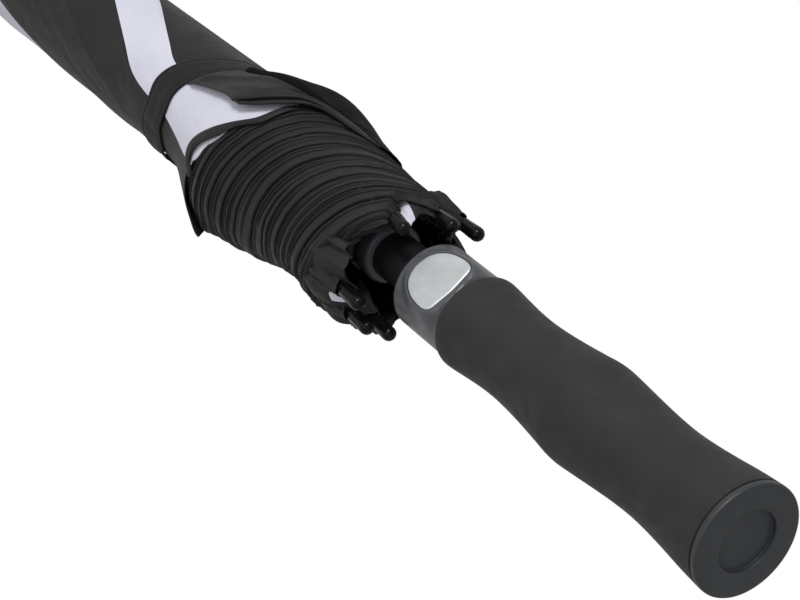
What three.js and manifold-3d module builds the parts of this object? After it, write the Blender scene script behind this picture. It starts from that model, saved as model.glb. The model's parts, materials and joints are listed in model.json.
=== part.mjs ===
// Golf umbrella, closed and strapped: foam grip, push button opener, eight ribs and canopy panels.
// Millimetres. +Z runs along the shaft from the butt of the grip to the ferrule, and the origin is
// the centre of the butt. The push button faces -Y.

import * as THREE from 'three';
import { mergeVertices } from 'three/addons/utils/BufferGeometryUtils.js';
import Module from 'manifold-3d';

const wasm = await Module();
wasm.setup();

// ---- Driving dimensions ----

const GAP = 0.3; // between two pieces that touch
const ROUND = 28; // sides on a large round piece
const SMALL_ROUND = 20; // sides on a small round piece

const RIB_COUNT = 8;
const RIB_STEP = (2 * Math.PI) / RIB_COUNT;
const FIRST_RIB = THREE.MathUtils.degToRad(-78.5); // azimuth of rib 1

const BUTT_RADIUS = 22.1;
const BUTT_THICKNESS = 3;
const RECESS_RADIUS = 12.2;
const RECESS_DEPTH = 2;

const SHAFT_RADIUS = 7;
const SHAFT_WALL = 1;
const SHAFT_BOTTOM = 17;
const SHAFT_TOP = 990;
const BORE_RADIUS = SHAFT_RADIUS + GAP;

const CORE_RADIUS = 9.5;
const GRIP_TOP = 164;

const COLLAR_RADIUS = 18.4;
const COLLAR_WALL = 2;
const COLLAR_TOP = 196.6;

const BUTTON_HALF_WIDTH = 12.6;
const BUTTON_BOTTOM = 166.9;
const BUTTON_TOP = 191;
const BUTTON_FACE = 18.8; // distance of the button's face from the axis
const BUTTON_BACK = 15.9;

const SLEEVE_RADIUS = 10.3;
const SLEEVE_BOTTOM = 172;
const CATCH_BOTTOM = 176; // latch plate
const CATCH_THICKNESS = 2.5;
const CATCH_GROOVE_RADIUS = 9;

const PIVOT_RADIUS = 11.8; // of the rib and stretcher pivots, from the axis
const RIB_PIVOT_HEIGHT = 960;
const LINK = 358.5; // rib pivot to stretcher pivot, and the stretcher's own length
const RIB_LEAN = THREE.MathUtils.degToRad(0.91); // typical closed rib, from the vertical
const RIB_LENGTH = 748;
// Where the wrapped cloth holds each tip: the distance outwards from the shaft, then sideways.
const TIP_PLACES = [
  [26.9, 0.3], [23.7, 3.5], [28, -3.1], [28.4, 0], [28.4, 0], [25.2, 6.2], [29.5, -4.1], [26.6, -14],
];
const RIB_RADIUS = 1.6;
const RIB_OFFSET = 4.6; // the rod lies this far outside the line of its pivots
const RIB_EYE_LENGTH = 16;
const TIP_LENGTH = 12;
const TIP_RADIUS = 3.05;
const LINK_HALF_DEPTH = 1.1;
const LINK_WIDTH = 2;

const RUNNER_PIVOT_HEIGHT = RIB_PIVOT_HEIGHT - 2 * LINK * Math.cos(RIB_LEAN);
const SLOT_WIDTH = 3.6;

const PANEL_GAP = THREE.MathUtils.degToRad(1.4); // each side of a canopy panel
const STRAP_BOTTOM = 367;
const STRAP_TOP = 386;
const STRAP_RADIUS = 31.9;
const STRAP_THICKNESS = 1.5;
const STRAP_PANEL = 5; // the canopy panel that the strap is sewn to

// ---- Materials ----

const material = (color, roughness, metalness = 0) =>
  new THREE.MeshStandardMaterial({ color, roughness, metalness });

const FOAM = material(0x1f1f20, 0.75);
const CAP_PLASTIC = material(0x24272b, 0.5);
const COLLAR_PLASTIC = material(0x2b2f37, 0.42);
const SATIN_METAL = material(0xb9bdc2, 0.35, 0.9);
const STEEL = material(0x8b8f93, 0.35, 0.9);
const SHAFT_FINISH = material(0x141517, 0.35);
const BLACK_PLASTIC = material(0x121214, 0.4);
const GLOSS_PLASTIC = material(0x0d0d0e, 0.18);
const FIBREGLASS = material(0x1a1a1c, 0.45);
const PONGEE = material(0x252323, 0.7);

// ---- Solids ----

// Indexed triangles with shared corners, wound so that the faces point out.
function weld(geometry) {
  const bare = geometry.clone();
  bare.deleteAttribute('normal');
  bare.deleteAttribute('uv');
  const merged = mergeVertices(bare, 1e-4);
  const position = merged.getAttribute('position').array;
  const corners = [];
  let volume = 0;
  const a = new THREE.Vector3();
  const b = new THREE.Vector3();
  const c = new THREE.Vector3();
  for (let i = 0; i < merged.index.count; i += 3) {
    const [p, q, r] = [0, 1, 2].map((k) => merged.index.getX(i + k));
    if (p === q || q === r || r === p) continue;
    a.fromArray(position, 3 * p);
    b.fromArray(position, 3 * q);
    c.fromArray(position, 3 * r);
    volume += a.dot(b.clone().cross(c));
    corners.push(p, q, r);
  }
  if (volume < 0) {
    for (let i = 0; i < corners.length; i += 3) {
      [corners[i], corners[i + 1]] = [corners[i + 1], corners[i]];
    }
  }
  return { vertProperties: Float32Array.from(position), triVerts: Uint32Array.from(corners) };
}

const toSolid = (geometry) => new wasm.Manifold(new wasm.Mesh({ numProp: 3, ...weld(geometry) }));

function toGeometry(solid) {
  const mesh = solid.getMesh();
  const geometry = new THREE.BufferGeometry();
  geometry.setAttribute('position', new THREE.BufferAttribute(mesh.vertProperties, 3));
  geometry.setIndex(new THREE.BufferAttribute(mesh.triVerts, 1));
  return geometry;
}

// A profile of [radius, height] pairs turned round the Z axis.
function turned(profile, sides = ROUND) {
  const points = profile.map(([radius, height]) => new THREE.Vector2(radius, height));
  return new THREE.LatheGeometry(points, sides).rotateX(Math.PI / 2);
}

const turnedRing = (profile, sides) => turned([...profile, profile[0]], sides);

const plain = (geometry) => toGeometry(toSolid(geometry));

// A box between two corners.
function block(low, high) {
  const size = high.map((value, axis) => value - low[axis]);
  const centre = high.map((value, axis) => (value + low[axis]) / 2);
  return new THREE.BoxGeometry(...size).translate(...centre);
}

// A round bar along Z from one height to another.
const bar = (radius, bottom, top, sides) =>
  new THREE.CylinderGeometry(radius, radius, top - bottom, sides)
    .rotateX(Math.PI / 2)
    .translate(0, 0, (top + bottom) / 2);

// A coil of round wire whose axis is Z.
function coil(radius, wireRadius, bottom, top, turns) {
  const stepsPerTurn = 9;
  const sides = 5;
  const points = [];
  for (let i = 0; i <= turns * stepsPerTurn; i += 1) {
    const share = i / (turns * stepsPerTurn);
    const angle = 2 * Math.PI * turns * share;
    const height = bottom + (top - bottom) * share;
    points.push(new THREE.Vector3(radius * Math.cos(angle), radius * Math.sin(angle), height));
  }
  const section = new THREE.Shape();
  for (let i = 0; i < sides; i += 1) {
    const angle = (2 * Math.PI * i) / sides;
    const corner = [wireRadius * Math.cos(angle), wireRadius * Math.sin(angle)];
    if (i === 0) section.moveTo(...corner);
    else section.lineTo(...corner);
  }
  section.closePath();
  const extrudePath = new THREE.CatmullRomCurve3(points);
  return new THREE.ExtrudeGeometry(section, { steps: turns * stepsPerTurn, extrudePath });
}

const umbrella = new THREE.Group();

function add(parent, name, geometry, finish) {
  const mesh = new THREE.Mesh(geometry, finish);
  mesh.name = name;
  parent.add(mesh);
  return mesh;
}

// ---- Handle ----

// Two palm swells with a waist below each, and a rounded shoulder at the collar.
function gripOutline() {
  const swells = [
    [BUTT_THICKNESS + GAP, 22], [12, 21.3], [24, 20], [34, 19.1], [45, 18.6], [56, 18.9],
    [68, 19.8], [80, 20.9], [87, 21.35], [91, 21.3], [98, 20.5], [110, 19.2], [121, 18.3],
    [131, 17.9], [141, 18.2], [150, 18.9], [158, 19.7], [161.5, 19.8], [163.3, 19.1],
    [GRIP_TOP, 18],
  ];
  return swells.map(([height, radius]) => [radius, height]);
}

function handle() {
  const capProfile = [
    [0, RECESS_DEPTH], [RECESS_RADIUS, RECESS_DEPTH], [RECESS_RADIUS, 0], [BUTT_RADIUS - 0.9, 0],
    [BUTT_RADIUS, 0.9], [BUTT_RADIUS, BUTT_THICKNESS], [SHAFT_RADIUS, BUTT_THICKNESS],
    [SHAFT_RADIUS, SHAFT_BOTTOM - 1], [0, SHAFT_BOTTOM - 1],
  ];
  add(umbrella, 'end_cap', plain(turned(capProfile)), CAP_PLASTIC);

  const coreProfile = [
    [BORE_RADIUS, BUTT_THICKNESS + GAP], [CORE_RADIUS, BUTT_THICKNESS + GAP],
    [CORE_RADIUS, GRIP_TOP], [BORE_RADIUS, GRIP_TOP],
  ];
  add(umbrella, 'handle_core', plain(turnedRing(coreProfile, SMALL_ROUND)), BLACK_PLASTIC);

  const gripBore = CORE_RADIUS + GAP;
  const gripProfile = [
    [gripBore, BUTT_THICKNESS + GAP], ...gripOutline(), [gripBore, GRIP_TOP],
  ];
  add(umbrella, 'grip', plain(turnedRing(gripProfile)), FOAM);

  const shaftProfile = [
    [SHAFT_RADIUS - SHAFT_WALL, SHAFT_BOTTOM], [SHAFT_RADIUS, SHAFT_BOTTOM],
    [SHAFT_RADIUS, SHAFT_TOP], [SHAFT_RADIUS - SHAFT_WALL, SHAFT_TOP],
  ];
  add(umbrella, 'shaft', plain(turnedRing(shaftProfile, SMALL_ROUND)), SHAFT_FINISH);
}

// The button's outline from the front: rounded towards the canopy, nearly straight at the grip.
function buttonShape(growth) {
  const half = BUTTON_HALF_WIDTH + growth;
  const bottom = BUTTON_BOTTOM - growth;
  const top = BUTTON_TOP + growth;
  const shoulder = bottom + 7;
  const shape = new THREE.Shape();
  shape.moveTo(-half + 3, bottom + 1.4);
  shape.quadraticCurveTo(0, bottom - 1.2, half - 3, bottom + 1.4);
  shape.quadraticCurveTo(half, bottom + 2, half, shoulder);
  shape.bezierCurveTo(half, top - 5, half - 5.5, top, 0, top);
  shape.bezierCurveTo(-half + 5.5, top, -half, top - 5, -half, shoulder);
  shape.quadraticCurveTo(-half, bottom + 2, -half + 3, bottom + 1.4);
  return shape;
}

// An outline in X and Z, made solid between two distances in front of the axis.
const facingFront = (shape, near, far, curveSegments = 6) =>
  new THREE.ExtrudeGeometry(shape, { depth: far - near, bevelEnabled: false, curveSegments })
    .rotateX(Math.PI / 2)
    .translate(0, -near, 0);

function collar() {
  const inner = COLLAR_RADIUS - COLLAR_WALL;
  const bottom = GRIP_TOP + GAP;
  const profile = [
    [BORE_RADIUS, bottom], [COLLAR_RADIUS, bottom], [COLLAR_RADIUS, COLLAR_TOP - 1.6],
    [COLLAR_RADIUS - 0.5, COLLAR_TOP - 0.5], [COLLAR_RADIUS - 1.6, COLLAR_TOP],
    [SLEEVE_RADIUS + 2 * GAP, COLLAR_TOP], [SLEEVE_RADIUS + 2 * GAP, COLLAR_TOP - COLLAR_WALL],
    [inner, COLLAR_TOP - COLLAR_WALL], [inner, bottom + 1.5], [BORE_RADIUS, bottom + 1.5],
  ];
  const window = toSolid(facingFront(buttonShape(GAP), 8, COLLAR_RADIUS + 4));
  add(umbrella, 'collar', toGeometry(toSolid(turnedRing(profile)).subtract(window)), COLLAR_PLASTIC);

  const face = facingFront(buttonShape(0), BUTTON_BACK, BUTTON_FACE);
  add(umbrella, 'push_button', plain(face), SATIN_METAL);
}

// A plate round the runner sleeve. Its far edge hooks into the sleeve's groove until it is pushed.
function latch() {
  const frontRadius = 15.4;
  const backRadius = 13.2;
  const holeRadius = 11.9;
  const outline = new THREE.Shape();
  outline.absarc(0, 0, backRadius, 0, Math.PI, false);
  outline.absarc(0, 0, frontRadius, Math.PI, 2 * Math.PI, false);
  outline.closePath();
  const hole = new THREE.Path();
  hole.absarc(0, CATCH_GROOVE_RADIUS + 0.6 - holeRadius, holeRadius, 0, 2 * Math.PI, true);
  outline.holes.push(hole);
  const options = { depth: CATCH_THICKNESS, bevelEnabled: false, curveSegments: 14 };
  const plate = new THREE.ExtrudeGeometry(outline, options).translate(0, 0, CATCH_BOTTOM);
  add(umbrella, 'latch_plate', plain(plate), BLACK_PLASTIC);

  const springBack = COLLAR_RADIUS - COLLAR_WALL - 2 * GAP;
  const spring = coil(1.6, 0.3, backRadius + 2 * GAP, springBack, 2)
    .rotateX(-Math.PI / 2)
    .translate(0, 0, CATCH_BOTTOM + CATCH_THICKNESS / 2);
  add(umbrella, 'button_spring', plain(spring), STEEL);
}

// ---- Runner, notch and top ----

// Radial slots through a turned piece, one at each rib.
function slotted(geometry, slotRadius, bottom, top) {
  let solid = toSolid(geometry);
  for (let i = 0; i < RIB_COUNT; i += 1) {
    const slot = block([slotRadius, -SLOT_WIDTH / 2, bottom], [30, SLOT_WIDTH / 2, top]);
    solid = solid.subtract(toSolid(slot.rotateZ(FIRST_RIB + i * RIB_STEP)));
  }
  return toGeometry(solid);
}

function runner() {
  const catchTop = CATCH_BOTTOM + CATCH_THICKNESS;
  const flangeBottom = 225;
  const flangeTop = 234;
  const crownTop = RUNNER_PIVOT_HEIGHT + 5;
  const profile = [
    [BORE_RADIUS, SLEEVE_BOTTOM], [SLEEVE_RADIUS - 0.8, SLEEVE_BOTTOM],
    [SLEEVE_RADIUS, SLEEVE_BOTTOM + 1], [SLEEVE_RADIUS, CATCH_BOTTOM - 0.5],
    [CATCH_GROOVE_RADIUS, CATCH_BOTTOM - 0.5], [CATCH_GROOVE_RADIUS, catchTop + 0.5],
    [SLEEVE_RADIUS, catchTop + 0.5], [SLEEVE_RADIUS, flangeBottom], [12.4, flangeBottom],
    [13.4, flangeBottom + 1.5], [13.4, flangeTop], [11.2, flangeTop + 1], [11.2, flangeTop + 4],
    [13.8, flangeTop + 4.5], [13.8, crownTop], [BORE_RADIUS, crownTop],
  ];
  const body = turnedRing(profile, 24);
  const geometry = slotted(body, SLEEVE_RADIUS + 0.1, flangeBottom - 1, crownTop + 1);
  add(umbrella, 'runner', geometry, BLACK_PLASTIC);

  const spring = coil(4.4, 0.6, SHAFT_BOTTOM + 5, SLEEVE_BOTTOM + 40, 10);
  add(umbrella, 'opening_spring', plain(spring), STEEL);
}

function top() {
  const notchProfile = [
    [BORE_RADIUS, RIB_PIVOT_HEIGHT - 8], [14.4, RIB_PIVOT_HEIGHT - 8],
    [15.2, RIB_PIVOT_HEIGHT - 7], [15.2, RIB_PIVOT_HEIGHT + 7], [14.4, RIB_PIVOT_HEIGHT + 8],
    [BORE_RADIUS, RIB_PIVOT_HEIGHT + 8],
  ];
  const notchRing = turnedRing(notchProfile, 24);
  const notch = slotted(notchRing, 9.8, RIB_PIVOT_HEIGHT - 9, RIB_PIVOT_HEIGHT + 9);
  add(umbrella, 'notch', notch, BLACK_PLASTIC);

  const capBottom = RIB_PIVOT_HEIGHT + 8.5;
  const capProfile = [
    [BORE_RADIUS, capBottom], [18.6, capBottom], [19.4, capBottom + 0.8], [19, capBottom + 2],
    [15.5, capBottom + 4.4], [11, capBottom + 6], [BORE_RADIUS, capBottom + 6.4],
  ];
  add(umbrella, 'top_cap', plain(turnedRing(capProfile)), BLACK_PLASTIC);

  const ferruleBottom = capBottom + 6.4 + GAP;
  const ferruleProfile = [
    [BORE_RADIUS, ferruleBottom], [10, ferruleBottom], [9.6, ferruleBottom + 9],
    [8.6, ferruleBottom + 13], [6, ferruleBottom + 34], [4.6, ferruleBottom + 39],
    [0, ferruleBottom + 41], [0, SHAFT_TOP + GAP], [BORE_RADIUS, SHAFT_TOP + GAP],
  ];
  add(umbrella, 'ferrule', plain(turnedRing(ferruleProfile, SMALL_ROUND)), GLOSS_PLASTIC);
}

// ---- Ribs and stretchers ----
// In a rib's own frame the origin is its pivot, -Z runs to the tip and +X points away from the shaft.

function ribGeometry() {
  const rod = toSolid(bar(RIB_RADIUS, -RIB_LENGTH, -8, 8).translate(RIB_OFFSET, 0, 0));
  const eyeDepth = RIB_OFFSET + RIB_RADIUS;
  const plate = toSolid(block([-RIB_RADIUS, -1.2, -RIB_EYE_LENGTH], [eyeDepth, 1.2, 0]));
  const eye = toSolid(new THREE.CylinderGeometry(RIB_RADIUS, RIB_RADIUS, 2.4, 12));
  return toGeometry(rod.add(plate).add(eye));
}

function tipGeometry() {
  const top = -RIB_LENGTH - GAP;
  const profile = [[0, top], [2.3, top], [2.5, top - 4], [TIP_RADIUS, top - 6]];
  const arcSteps = 4;
  const roundCentre = top - TIP_LENGTH + TIP_RADIUS;
  for (let i = 0; i < arcSteps; i += 1) {
    const angle = (Math.PI / 2) * (i / arcSteps);
    const height = roundCentre - TIP_RADIUS * Math.sin(angle);
    profile.push([TIP_RADIUS * Math.cos(angle), height]);
  }
  profile.push([0, roundCentre - TIP_RADIUS]);
  return plain(turned(profile, 12).translate(RIB_OFFSET, 0, 0));
}

// A clip round the rod with two ears that carry the stretcher's pivot.
function clipGeometry() {
  const earInside = LINK_WIDTH / 2 + 0.5;
  const earOutside = earInside + 1.1;
  const body = toSolid(block([1.6, -earOutside, -6], [7.6, earOutside, 6]));
  const bore = toSolid(bar(RIB_RADIUS + GAP, -7, 7, 10).translate(RIB_OFFSET, 0, 0));
  const ears = [-1, 1].map((side) => {
    const [low, high] = [side * earInside, side * earOutside].sort((p, q) => p - q);
    return toSolid(block([-1.8, low, -3], [2, high, 3]));
  });
  return toGeometry(body.add(ears[0]).add(ears[1]).subtract(bore));
}

function stretcherGeometry() {
  const shape = new THREE.Shape();
  shape.absarc(0, 0, LINK_HALF_DEPTH, 0, Math.PI, false);
  shape.absarc(0, -LINK, LINK_HALF_DEPTH, Math.PI, 2 * Math.PI, false);
  shape.closePath();
  const options = { depth: LINK_WIDTH, bevelEnabled: false, curveSegments: 5 };
  const flat = new THREE.ExtrudeGeometry(shape, options).translate(0, 0, -LINK_WIDTH / 2);
  return plain(flat.rotateX(Math.PI / 2));
}

// ---- Canopy ----

// One furled panel: a slice of the bundle's skin between two ribs.
function panelGeometry() {
  const outside = [
    [34.6, 214], [35.4, 240], [38, 305], [39, 335], [34, 352], [30.1, 362], [30.1, 400],
    [29.4, 620], [26, 800], [21.6, 930],
  ];
  const inside = [
    [19.6, 930], [22.6, 800], [26.2, 620], [28.7, 400], [28.9, 362], [30.5, 345], [32.2, 214],
  ];
  const bundle = toSolid(turnedRing([...outside, ...inside], 32));
  return toGeometry(bundle.intersect(toSolid(wedge(190, 940))));
}

// The space between two neighbouring ribs, less the gap at each side.
function wedge(bottom, top) {
  const reach = 60;
  const shape = new THREE.Shape();
  shape.moveTo(0, 0);
  shape.lineTo(reach * Math.cos(PANEL_GAP), reach * Math.sin(PANEL_GAP));
  shape.lineTo(reach * Math.cos(RIB_STEP - PANEL_GAP), reach * Math.sin(RIB_STEP - PANEL_GAP));
  shape.closePath();
  const options = { depth: top - bottom, bevelEnabled: false };
  return new THREE.ExtrudeGeometry(shape, options).translate(0, 0, bottom);
}

function strapGeometry() {
  const inner = STRAP_RADIUS - STRAP_THICKNESS;
  const profile = [
    [inner, STRAP_BOTTOM], [STRAP_RADIUS, STRAP_BOTTOM], [STRAP_RADIUS, STRAP_TOP],
    [inner, STRAP_TOP],
  ];
  const band = toSolid(turnedRing(profile, 32));
  return toGeometry(band.intersect(toSolid(wedge(STRAP_BOTTOM - 5, STRAP_TOP + 5))));
}

function frameAndCanopy() {
  const rib = ribGeometry();
  const tip = tipGeometry();
  const clip = clipGeometry();
  const stretcher = stretcherGeometry();
  const panel = panelGeometry();
  for (let i = 1; i <= RIB_COUNT; i += 1) {
    const bay = new THREE.Group();
    bay.rotation.z = FIRST_RIB + (i - 1) * RIB_STEP;
    umbrella.add(bay);

    const [out, aside] = TIP_PLACES[i - 1];
    const sideLean = Math.asin(aside / RIB_LENGTH);
    const rise = out - PIVOT_RADIUS - RIB_OFFSET;
    const lean = Math.asin(rise / (RIB_LENGTH * Math.cos(sideLean)));
    const ribPlane = new THREE.Group();
    ribPlane.position.set(PIVOT_RADIUS, 0, RIB_PIVOT_HEIGHT);
    ribPlane.rotation.y = -lean;
    bay.add(ribPlane);
    const ribFrame = new THREE.Group();
    ribFrame.rotation.x = sideLean;
    ribPlane.add(ribFrame);
    add(ribFrame, `rib_${i}`, rib, FIBREGLASS);
    add(ribFrame, `rib_tip_${i}`, tip, GLOSS_PLASTIC);
    add(ribFrame, `rib_clip_${i}`, clip, BLACK_PLASTIC).position.z = -LINK;

    const link = add(ribPlane, `stretcher_${i}`, stretcher, STEEL);
    link.position.set(0, LINK * Math.sin(sideLean), -LINK * Math.cos(sideLean));
    link.rotation.set(-sideLean, 2 * lean, 0);

    add(bay, `canopy_panel_${i}`, panel, PONGEE);
  }
  const strapBay = new THREE.Group();
  strapBay.rotation.z = FIRST_RIB + (STRAP_PANEL - 1) * RIB_STEP;
  umbrella.add(strapBay);
  add(strapBay, 'strap', strapGeometry(), PONGEE);
}

handle();
collar();
latch();
runner();
top();
frameAndCanopy();

export default umbrella;
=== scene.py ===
"""Golf umbrella, closed and strapped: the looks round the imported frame. Metres, +Z from butt to ferrule."""

import json
import math

import bmesh
import bpy
import numpy as np
from mathutils import Matrix, Vector

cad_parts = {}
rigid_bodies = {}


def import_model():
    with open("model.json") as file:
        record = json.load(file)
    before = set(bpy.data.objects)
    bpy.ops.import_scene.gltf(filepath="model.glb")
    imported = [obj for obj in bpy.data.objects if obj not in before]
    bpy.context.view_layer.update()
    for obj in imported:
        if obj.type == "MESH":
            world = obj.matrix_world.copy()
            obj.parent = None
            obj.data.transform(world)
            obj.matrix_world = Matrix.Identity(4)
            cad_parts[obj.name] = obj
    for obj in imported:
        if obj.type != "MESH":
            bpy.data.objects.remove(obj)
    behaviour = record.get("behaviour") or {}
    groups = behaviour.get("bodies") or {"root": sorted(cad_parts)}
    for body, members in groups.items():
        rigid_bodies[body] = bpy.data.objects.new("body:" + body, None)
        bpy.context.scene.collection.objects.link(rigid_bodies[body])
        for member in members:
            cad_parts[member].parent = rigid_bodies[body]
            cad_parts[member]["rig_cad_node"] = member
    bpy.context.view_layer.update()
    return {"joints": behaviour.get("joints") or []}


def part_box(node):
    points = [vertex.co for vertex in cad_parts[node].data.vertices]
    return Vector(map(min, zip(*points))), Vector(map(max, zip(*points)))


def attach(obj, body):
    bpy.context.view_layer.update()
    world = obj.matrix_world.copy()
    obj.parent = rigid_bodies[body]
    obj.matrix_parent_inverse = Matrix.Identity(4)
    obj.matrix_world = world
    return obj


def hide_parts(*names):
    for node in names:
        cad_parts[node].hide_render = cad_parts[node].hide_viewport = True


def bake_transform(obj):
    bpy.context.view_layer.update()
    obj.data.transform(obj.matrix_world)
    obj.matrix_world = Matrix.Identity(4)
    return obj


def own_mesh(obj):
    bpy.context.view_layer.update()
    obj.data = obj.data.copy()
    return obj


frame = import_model()
MM = 0.001

# ---------------- Dimensions, in millimetres

RIBS = 8
RIB_STEP = 45.0
FACING = -99.0  # world azimuth of bearing 0; bearings run counter-clockwise about +Z
FIRST_RIB = 20.5  # bearing of rib 1

PIVOT_RADIUS, PIVOT_HEIGHT = 11.8, 960.0
RIB_OFFSET, RIB_LENGTH = 4.6, 748.0
# Where the wrapped cloth holds each tip: the distance outwards from the shaft, then sideways.
TIP_PLACES = [
    (26.9, 0.3), (23.7, 3.5), (28, -3.1), (28.4, 0), (28.4, 0), (25.2, 6.2), (29.5, -4.1), (26.6, -14),
]
OPEN_ANGLE = 62.0  # of an open rib from the shaft
CLOTH_LIFT = 6.3  # open cloth above the line of the rib's pivots

HEM_PITCH = 6.75  # between two hems of the wrapped cloth
HEM_SLOPE = 0.30  # mm down for each degree round
LOWEST_HEM = 203.0

# ---------------- Camera and light


def into_scene(obj):
    bpy.context.scene.collection.objects.link(obj)
    return obj


def camera():
    data = bpy.data.cameras.new("camera")
    data.lens = 99.0
    data.sensor_width = 36.0
    cam = into_scene(bpy.data.objects.new("camera", data))
    right = Vector((0.72257888, 0.45679079, -0.51886601))
    up = Vector((0.68312992, -0.58680672, 0.43473139))
    back = right.cross(up)
    turn = Matrix((right, up, back)).transposed().to_4x4()
    cam.matrix_world = Matrix.Translation((-0.10513, -0.58378, -0.43949)) @ turn
    bpy.context.scene.camera = cam
    return right, up, back


CAMERA_RIGHT, CAMERA_UP, CAMERA_BACK = camera()
LIT_POINT = Vector((0, 0, 0.2))  # where the lamps aim, by the collar


def area_light(name, direction, distance, size, power):
    data = bpy.data.lights.new(name, "AREA")
    data.shape = "DISK"
    data.size = size
    data.energy = power
    lamp = into_scene(bpy.data.objects.new(name, data))
    lamp.location = LIT_POINT + direction.normalized() * distance
    lamp.rotation_mode = "QUATERNION"
    lamp.rotation_quaternion = direction.to_track_quat("Z", "Y")


def lighting():
    """A key and a fill lamp, and a world that is white to the camera and dimmer as a light."""
    area_light("key", CAMERA_UP * 0.85 + CAMERA_BACK * 0.9 - CAMERA_RIGHT * 0.1, 1.7, 0.6, 16)
    area_light("fill", CAMERA_BACK + CAMERA_UP * 0.1 - CAMERA_RIGHT * 0.7, 1.9, 1.4, 5)
    world = bpy.data.worlds.new("studio")
    world.use_nodes = True
    tree = world.node_tree
    link = tree.links.new
    seen, lit = tree.nodes["Background"], tree.nodes.new("ShaderNodeBackground")
    for background in (seen, lit):
        background.inputs["Color"].default_value = (1, 1, 1, 1)
    seen.inputs["Strength"].default_value = 1.0
    path = tree.nodes.new("ShaderNodeLightPath")
    shine = tree.nodes.new("ShaderNodeMapRange")
    shine.inputs["To Min"].default_value = 0.50
    shine.inputs["To Max"].default_value = 0.58
    link(path.outputs["Is Glossy Ray"], shine.inputs["Value"])
    link(shine.outputs["Result"], lit.inputs["Strength"])
    mix = tree.nodes.new("ShaderNodeMixShader")
    link(path.outputs["Is Camera Ray"], mix.inputs[0])
    link(lit.outputs[0], mix.inputs[1])
    link(seen.outputs[0], mix.inputs[2])
    link(mix.outputs[0], tree.nodes["World Output"].inputs["Surface"])
    bpy.context.scene.world = world
    bpy.context.scene.view_settings.view_transform = "Standard"


lighting()

# ---------------- Materials


class Shader:
    """A Principled material with helpers for the noise that drives its colour, roughness and bump."""

    def __init__(self, name, color, roughness, **settings):
        self.material = bpy.data.materials.new(name)
        self.material.use_nodes = True
        self.tree = self.material.node_tree
        self.bsdf = self.tree.nodes["Principled BSDF"]
        self.color = color
        self.bsdf.inputs["Base Color"].default_value = (*color, 1)
        self.bsdf.inputs["Roughness"].default_value = roughness
        for key, value in settings.items():
            self.bsdf.inputs[key.replace("_", " ")].default_value = value
        self.link = self.tree.links.new
        self.place = self.tree.nodes.new("ShaderNodeTexCoord").outputs["Object"]

    def node(self, kind, **values):
        made = self.tree.nodes.new(kind)
        for key, value in values.items():
            made.inputs[key].default_value = value
        return made

    def stretched(self, scale):
        mapping = self.node("ShaderNodeMapping", Scale=scale)
        self.link(self.place, mapping.inputs["Vector"])
        return mapping.outputs["Vector"]

    def noise(self, per_metre, detail=3.0, rough=0.55, stretch=(1, 1, 1)):
        made = self.node("ShaderNodeTexNoise", Scale=per_metre, Detail=detail, Roughness=rough)
        self.link(self.stretched(stretch), made.inputs["Vector"])
        return made.outputs[0]

    def speckle(self, per_metre):
        made = self.node("ShaderNodeTexVoronoi", Scale=per_metre)
        self.link(self.place, made.inputs["Vector"])
        return made.outputs["Distance"]

    def ranged(self, value, low, high, start=0.3, end=0.7):
        made = self.tree.nodes.new("ShaderNodeMapRange")
        for socket, number in zip(("From Min", "From Max", "To Min", "To Max"), (start, end, low, high)):
            made.inputs[socket].default_value = number
        self.link(value, made.inputs["Value"])
        return made.outputs["Result"]

    def vary_color(self, value, other, start=0.3, end=0.7):
        mix = self.tree.nodes.new("ShaderNodeMix")
        mix.data_type = "RGBA"
        self.link(self.ranged(value, 0, 1, start, end), mix.inputs["Factor"])
        for socket in mix.inputs:
            if socket.type == "RGBA":
                socket.default_value = (*(other if socket.name == "B" else self.color), 1)
        result = [o for o in mix.outputs if o.type == "RGBA"][0]
        self.link(result, self.bsdf.inputs["Base Color"])
        return self

    def vary_roughness(self, value, low, high):
        self.link(self.ranged(value, low, high), self.bsdf.inputs["Roughness"])
        return self

    def bump(self, value, depth, strength=1.0):
        made = self.node("ShaderNodeBump", Distance=depth, Strength=strength)
        self.link(value, made.inputs["Height"])
        old = self.bsdf.inputs["Normal"].links
        if old:
            self.link(old[0].from_socket, made.inputs["Normal"])
        self.link(made.outputs["Normal"], self.bsdf.inputs["Normal"])
        return self


def foam():
    made = Shader("eva_foam", (0.0185, 0.0185, 0.0187), 0.62, Specular_IOR_Level=0.30)
    made.vary_color(made.noise(55, 5), (0.026, 0.026, 0.026))
    made.vary_roughness(made.noise(140, 4), 0.54, 0.70)
    made.bump(made.noise(2600, 3), 0.00006, 0.6)
    made.bump(made.speckle(1500), 0.00004, 0.35)
    return made.material


def plastic(name, color, roughness, grain=0.00002, **settings):
    made = Shader(name, color, roughness, **settings)
    made.vary_color(made.noise(90, 4), tuple(min(1, c * 1.15) for c in color))
    made.vary_roughness(made.noise(220, 4), roughness * 0.88, roughness * 1.15)
    made.bump(made.noise(3200, 2), grain, 0.6)
    return made.material


def brushed_steel():
    """Metal with fine lines along its length."""
    made = Shader("zinc_steel", (0.45, 0.46, 0.47), 0.36, Metallic=1.0)
    lines = made.noise(900, 4, 0.6, (1, 1, 0.03))
    made.vary_color(lines, (0.40, 0.41, 0.42))
    made.vary_roughness(lines, 0.31, 0.43)
    made.bump(lines, 0.000012, 0.5)
    return made.material


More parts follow.
